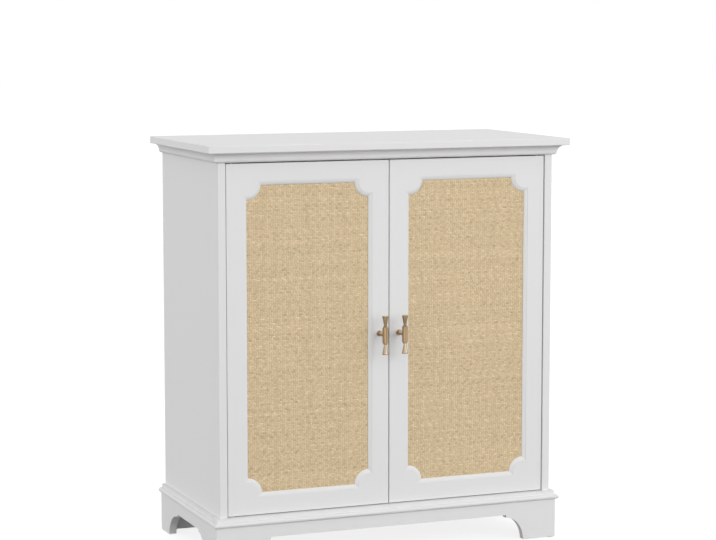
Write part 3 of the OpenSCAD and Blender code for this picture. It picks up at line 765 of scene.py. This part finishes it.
def cane_group():
    """Split cane: a tone for each strand, patches, fibres, dark flecks and painted shade where it dives."""
    name = "Split cane"
    if name in bpy.data.node_groups:
        return bpy.data.node_groups[name]
    group, graph, given, result = new_group(
        name,
        [("Light", "Color"), ("Dark", "Color"), ("Across", "Float"), ("Along", "Float"), ("Sunk", "Float"),
         ("Contrast", "Float")],
        [("Color", "Color"), ("Roughness", "Float"), ("Normal", "Vector")])
    across, along = given.outputs["Across"], given.outputs["Along"]
    strand = graph.math("FLOOR", across)
    own = graph.add("ShaderNodeTexWhiteNoise", {"W": strand}, noise_dimensions="1D")
    drift = graph.noise(strand_spot(graph, strand, along, (5.3, 0.09)), scale=1.0)
    patches = graph.noise(
        strand_spot(graph, strand, along, (7.7, 0.62), depth=9.0), scale=1.0, detail=1.0)
    fibres = graph.noise(
        strand_spot(graph, across, along, (9.0, 0.35)), scale=1.0, detail=4.0, roughness=0.65)
    flecks = graph.noise(
        strand_spot(graph, across, along, (2.0, 0.8)), scale=1.3, detail=1.0, roughness=0.4)
    # Each pattern, the range of it that counts and the tones at the two ends of that range
    layers = (
        (own.outputs["Value"], 0.0, 1.0, -0.1, 0.1),
        (drift, *NOISE_RANGE, -0.05, 0.05),
        (patches, 0.3, 0.62, -0.23, 0.07),
        (fibres, *NOISE_RANGE, -0.06, 0.06),
        (flecks, 0.68, 0.78, 0.0, -0.16),
    )
    tone = graph.spread(*layers[0])
    for layer in layers[1:]:
        tone = graph.math("ADD", tone, graph.spread(*layer))
    tone = graph.math("MULTIPLY", tone, given.outputs["Contrast"])
    # The tone moves blue the most, so dark cane is yellower and pale cane whiter
    level = graph.add("ShaderNodeVectorMath", {
        0: tone, 1: (0.9, 1.0, 1.23), 2: (1.0, 1.0, 1.0),
    }, operation="MULTIPLY_ADD").outputs["Vector"]
    clean = graph.add("ShaderNodeVectorMath", {0: given.outputs["Light"], 1: level}, operation="MULTIPLY")
    pink = (1.04, 0.98, 0.93, 1.0)
    pink_share = graph.spread(own.outputs["Color"], 0.2, 1.0, 0.0, 0.15)
    pinker = graph.mix(pink_share, clean.outputs["Vector"], pink, blend="MULTIPLY")
    # Painted shade mixed in where the strand dives
    shade = graph.mix(given.outputs["Sunk"], pinker, given.outputs["Dark"])
    rough = graph.spread(fibres, *NOISE_RANGE, 0.48, 0.66)
    normal = graph.bump(fibres, strength=0.6, distance=0.0003)
    fill_outputs(group, result, {"Color": shade, "Roughness": rough, "Normal": normal})
    return group


# Materials

# How often the brass streaks, partly brush marks and partly painted reflections, repeat in a metre, across
# their stroke and along it.
STREAK_ACROSS = 340.0
STREAK_ALONG = 6.0


def new_material(name, specular=0.5, metallic=0.0):
    """A material with one Principled shader, as (material, graph, shader)."""
    material = bpy.data.materials.new(name)
    material.use_nodes = True
    graph = Graph(material.node_tree)
    shader = material.node_tree.nodes["Principled BSDF"]
    shader.location = SHADER_PLACE
    shader.inputs["Specular IOR Level"].default_value = specular
    shader.inputs["Metallic"].default_value = metallic
    return material, graph, shader


def colour(value):
    return (*value, 1.0)


def link_finish(graph, source, shader):
    for name, socket in (("Color", "Base Color"), ("Roughness", "Roughness"), ("Normal", "Normal")):
        graph.feed(shader.inputs[socket], source.outputs[name])


def mottled(name, base, roughness, amount, grain_height, grain_scale, specular=0.5, metallic=0.0):
    if name in bpy.data.materials:
        return bpy.data.materials[name]
    material, graph, shader = new_material(name, specular, metallic)
    finish = graph.add("ShaderNodeGroup", {
        "Color": colour(base), "Roughness": roughness, "Amount": amount,
        "Grain height": grain_height, "Grain scale": grain_scale,
    }, node_tree=mottle_group())
    link_finish(graph, finish, shader)
    return material


def streaked(name, light, dark, stretch, contrast, roughness, depth, metallic=0.0):
    if name in bpy.data.materials:
        return bpy.data.materials[name]
    material, graph, shader = new_material(name, metallic=metallic)
    finish = graph.add("ShaderNodeGroup", {
        "Light": colour(light), "Dark": colour(dark), "Stretch": stretch,
        "Contrast": contrast, "Roughness": roughness, "Depth": depth,
    }, node_tree=streak_group())
    link_finish(graph, finish, shader)
    return material


def satin_paint(context):
    return mottled(
        "satin_paint", context.scene.sideboard_finish.paint, roughness=0.55, amount=0.02,
        grain_height=0.00004, grain_scale=900.0, specular=0.22)


def hardboard_face(context):
    return mottled(
        "hardboard_face", context.scene.sideboard_finish.lining, roughness=0.6, amount=0.05,
        grain_height=0.00006, grain_scale=500.0)


def nylon(context):
    return mottled(
        "nylon", context.scene.sideboard_finish.nylon, roughness=0.5, amount=0.04,
        grain_height=0.00005, grain_scale=1200.0)


def cast_zinc(context):
    return mottled(
        "cast_zinc", context.scene.sideboard_finish.zinc, roughness=0.5, amount=0.25,
        grain_height=0.0001, grain_scale=1500.0, metallic=1.0)


def plated_steel(context):
    return mottled(
        "plated_steel", context.scene.sideboard_finish.steel, roughness=0.3, amount=0.2,
        grain_height=0.00003, grain_scale=2500.0, metallic=1.0)


def bare_beech(context):
    light = context.scene.sideboard_finish.beech
    dark = [0.72 * c for c in light]
    return streaked(
        "bare_beech", light, dark, stretch=(420.0, 420.0, 30.0),
        contrast=2.0, roughness=0.6, depth=0.0001)


def brushed_brass(context, name, along):
    """Brushed gold with streaks that are partly brush marks and partly painted reflections, with painted
    light where it faces up and painted shade where it faces down.
    """
    if name in bpy.data.materials:
        return bpy.data.materials[name]
    finish = context.scene.sideboard_finish
    stretch = [STREAK_ALONG if axis == along else STREAK_ACROSS for axis in range(3)]
    material = streaked(
        name, finish.brass, finish.brass_streaks_and_painted_reflections, stretch,
        contrast=5.0, roughness=0.3, depth=0.00002, metallic=1.0)
    graph = Graph(material.node_tree)
    shader = material.node_tree.nodes["Principled BSDF"]
    brushed = shader.inputs["Base Color"].links[0].from_socket
    normal = graph.add("ShaderNodeTexCoord").outputs["Normal"]
    rise = graph.add("ShaderNodeSeparateXYZ", {"Vector": normal}).outputs["Z"]
    # The rise of the normal at which the painted light on upward faces and the painted shade on downward
    # faces start and are full, and how much of them shows then
    start, full = 0.02, 0.2
    most_painted_light, most_painted_shade = 0.62, 0.6
    up = graph.spread(rise, start, full, 0.0, most_painted_light)
    down = graph.spread(rise, -start, -full, 0.0, most_painted_shade)
    with_painted_light = graph.mix(up, brushed, colour(finish.brass_painted_light))
    with_painted_shade = graph.mix(down, with_painted_light, colour(finish.brass_painted_shade))
    graph.feed(shader.inputs["Base Color"], with_painted_shade)
    return material


def cane_material(context, kind, plane):
    """Split cane that runs up the panel or across it, with painted shade by its depth from the middle
    plane.
    """
    name = "split_" + kind
    if name in bpy.data.materials:
        return bpy.data.materials[name]
    finish = context.scene.sideboard_finish
    crown = context.scene.sideboard_weave.crown
    across, along, contrast = ("X", "Y", 0.5) if kind == "cane_uprights" else ("Y", "X", 1.0)
    material, graph, shader = new_material(name, specular=0.35)
    counted = graph.add("ShaderNodeSeparateXYZ", {
        "Vector": graph.add("ShaderNodeUVMap", uv_map=STRAND_MAP).outputs["UV"]})
    place = graph.add("ShaderNodeSeparateXYZ", {
        "Vector": graph.add("ShaderNodeTexCoord").outputs["Object"]})
    # Depths at which the painted shade starts and is full
    lit, darkest = plane - 0.85 * crown, plane + 0.5 * crown
    cane = graph.add("ShaderNodeGroup", {
        "Light": colour(finish.cane), "Dark": colour(finish.cane_painted_shade),
        "Across": counted.outputs[across], "Along": counted.outputs[along],
        "Sunk": graph.spread(place.outputs["Y"], lit, darkest), "Contrast": contrast,
    }, node_tree=cane_group())
    link_finish(graph, cane, shader)
    return material


def finish_nodes(nodes, material):
    """Puts a material on every slot of some fixed parts."""
    for obj in (NODES[node] for node in nodes):
        if not obj.material_slots:
            obj.data.materials.append(material)
        for slot in obj.material_slots:
            slot.material = material


class SIDEBOARD_OT_finish_boards(bpy.types.Operator):
    """Paint the boards and mouldings, and face the thin boards"""

    bl_idname = "sideboard.finish_boards"
    bl_label = "Finish the Boards"

    def execute(self, context):
        finish_nodes(PAINTED, satin_paint(context))
        finish_nodes(LINED, hardboard_face(context))
        finish_nodes(TIMBER, bare_beech(context))
        return {"FINISHED"}


class SIDEBOARD_OT_finish_fittings(bpy.types.Operator):
    """Brush the handles and finish the metal and nylon fittings"""

    bl_idname = "sideboard.finish_fittings"
    bl_label = "Finish the Fittings"

    def execute(self, context):
        finish_nodes(MOULDED, nylon(context))
        finish_nodes(CAST, cast_zinc(context))
        finish_nodes(STEEL, plated_steel(context))
        finish_nodes(BARS, brushed_brass(context, "brass_bar", along=2))
        finish_nodes(POSTS, brushed_brass(context, "brass_post", along=1))
        return {"FINISHED"}


# Studio

WHITE = (1.0, 1.0, 1.0, 1.0)


def seen_directly(graph):
    """1 for what the camera sees, straight or in metal or glass, and 0 for what lights the object."""
    path = graph.add("ShaderNodeLightPath")
    seen = graph.math("MAXIMUM", path.outputs["Is Camera Ray"], path.outputs["Is Glossy Ray"])
    return graph.math("MAXIMUM", seen, path.outputs["Is Transmission Ray"])


class SIDEBOARD_OT_set_up_studio(bpy.types.Operator):
    """Lay the floor, hang the lamp and stand the camera"""

    bl_idname = "sideboard.set_up_studio"
    bl_label = "Set Up the Studio"

    def execute(self, context):
        studio = context.scene.sideboard_studio
        self.floor(studio)
        self.sky(context, studio)
        self.key_lamp(studio)
        self.camera(context, studio)
        context.scene.view_settings.view_transform = "Standard"
        return {"FINISHED"}

    def floor(self, studio):
        """A wide grey floor that glows to white for the camera, and keeps the shadow on it."""
        deselect_all()
        bpy.ops.mesh.primitive_plane_add(size=60.0, location=(0.0, 0.0, 0.0))
        floor = named("studio_floor")
        material, graph, shader = new_material("studio_floor", specular=0.0)
        shader.inputs["Base Color"].default_value = (0.3, 0.3, 0.3, 1.0)
        shader.inputs["Roughness"].default_value = 0.9
        glow = graph.add("ShaderNodeEmission", {
            "Color": WHITE,
            "Strength": graph.math("MULTIPLY", seen_directly(graph), studio.floor_glow),
        })
        both = graph.add("ShaderNodeAddShader", {0: shader.outputs[0], 1: glow.outputs[0]})
        graph.feed(material.node_tree.nodes["Material Output"].inputs["Surface"], both.outputs[0])
        floor.data.materials.append(material)

    def sky(self, context, studio):
        """Soft light that is weaker the higher it comes from. What is seen of it is white."""
        world = bpy.data.worlds.new("studio_sky")
        context.scene.world = world
        world.use_nodes = True
        graph = Graph(world.node_tree)
        direction = graph.add("ShaderNodeTexCoord").outputs["Generated"]
        rise = graph.add("ShaderNodeSeparateXYZ", {"Vector": direction}).outputs["Z"]
        soft = graph.spread(rise, 0.0, 1.0, studio.sky_low, studio.sky_high)
        light = graph.add("ShaderNodeVectorMath", {0: WHITE[:3], "Scale": soft}, operation="SCALE")
        shown = graph.mix(seen_directly(graph), light.outputs["Vector"], WHITE)
        graph.feed(world.node_tree.nodes["Background"].inputs["Color"], shown)

    def key_lamp(self, studio):
        """A square lamp in front of the sideboard, to its right, that points at its middle."""
        place = Vector((1.8, -3.9, 2.1))
        aim = Vector((0.0, 0.0, 0.45))
        deselect_all()
        bpy.ops.object.light_add(type="AREA", location=place)
        lamp = bpy.context.active_object
        lamp.name = "key_lamp"
        lamp.data.shape = "SQUARE"
        lamp.data.size = 1.6
        lamp.data.energy = studio.key
        lamp.rotation_euler = (aim - place).to_track_quat("-Z", "Y").to_euler()

    def camera(self, context, studio):
        deselect_all()
        turn = (math.pi / 2 - studio.camera_pitch, 0.0, -studio.camera_yaw)
        bpy.ops.object.camera_add(location=studio.camera_place, rotation=turn)
        camera = bpy.context.active_object
        camera.name = "studio_camera"
        camera.data.sensor_width = 36.0
        camera.data.sensor_fit = "HORIZONTAL"
        camera.data.lens = studio.lens
        camera.data.clip_end = 200.0
        context.scene.camera = camera


SETTINGS = {
    "sideboard_weave": WeaveSettings,
    "sideboard_fittings": FittingSettings,
    "sideboard_finish": FinishSettings,
    "sideboard_studio": StudioSettings,
}
OPERATORS = (
    SIDEBOARD_OT_set_up_studio,
    SIDEBOARD_OT_finish_boards,
    SIDEBOARD_OT_finish_fittings,
    SIDEBOARD_OT_weave_panels,
    SIDEBOARD_OT_detail_screws,
    SIDEBOARD_OT_fit_catch_poles,
    SIDEBOARD_OT_slim_front_feet,
)


class VIEW3D_PT_sideboard(bpy.types.Panel):
    """Steps of the sideboard in the order in which they are run, and its settings"""

    bl_label = "Sideboard"
    bl_space_type = "VIEW_3D"
    bl_region_type = "UI"
    bl_category = "Sideboard"

    def draw(self, context):
        for operator in OPERATORS:
            self.layout.operator(operator.bl_idname)
        for name, settings in SETTINGS.items():
            box = self.layout.box()
            box.label(text=settings.__doc__)
            for prop in settings.__annotations__:
                box.prop(getattr(context.scene, name), prop)


CLASSES = (*SETTINGS.values(), *OPERATORS, VIEW3D_PT_sideboard)


def register():
    for cls in CLASSES:
        bpy.utils.register_class(cls)
    for name, settings in SETTINGS.items():
        setattr(bpy.types.Scene, name, PointerProperty(type=settings))


def unregister():
    for name in SETTINGS:
        delattr(bpy.types.Scene, name)
    for cls in reversed(CLASSES):
        bpy.utils.unregister_class(cls)


def main():
    register()
    deselect_all()
    bpy.ops.sideboard.set_up_studio()
    bpy.ops.sideboard.finish_boards()
    bpy.ops.sideboard.finish_fittings()
    bpy.ops.sideboard.weave_panels()
    bpy.ops.sideboard.detail_screws()
    bpy.ops.sideboard.fit_catch_poles()
    bpy.ops.sideboard.slim_front_feet()


if __name__ == "__main__":
    main()
